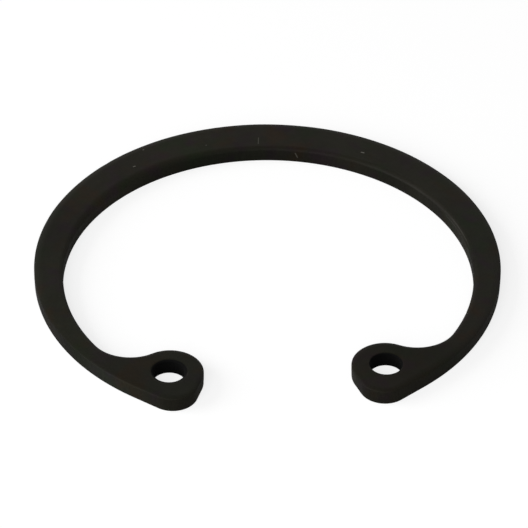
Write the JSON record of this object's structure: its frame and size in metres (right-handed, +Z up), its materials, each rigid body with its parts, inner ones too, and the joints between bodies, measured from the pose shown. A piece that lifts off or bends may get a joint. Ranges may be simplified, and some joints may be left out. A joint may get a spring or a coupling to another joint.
{
  "type": "circlip retaining ring",
  "caption": "Internal circlip for a groove in a bore: a flat open spring steel ring, widest at its back, with two inward lugs, each with a hole for pliers.",
  "frame": {"origin": "centre of the round rim, on the underside that the ring lies on", "axes": "+Z up, along the axis of the bore that the ring snaps into; -Y through the middle of the gap between the lugs; X across the ring, from lug to lug"},
  "size_m": [0.0344, 0.0326, 0.0012],
  "materials": {
    "black_spring_steel": "matte"
  },
  "bodies": {
    "root": {"circlip": "black_spring_steel"}
  },
  "joints": []
}
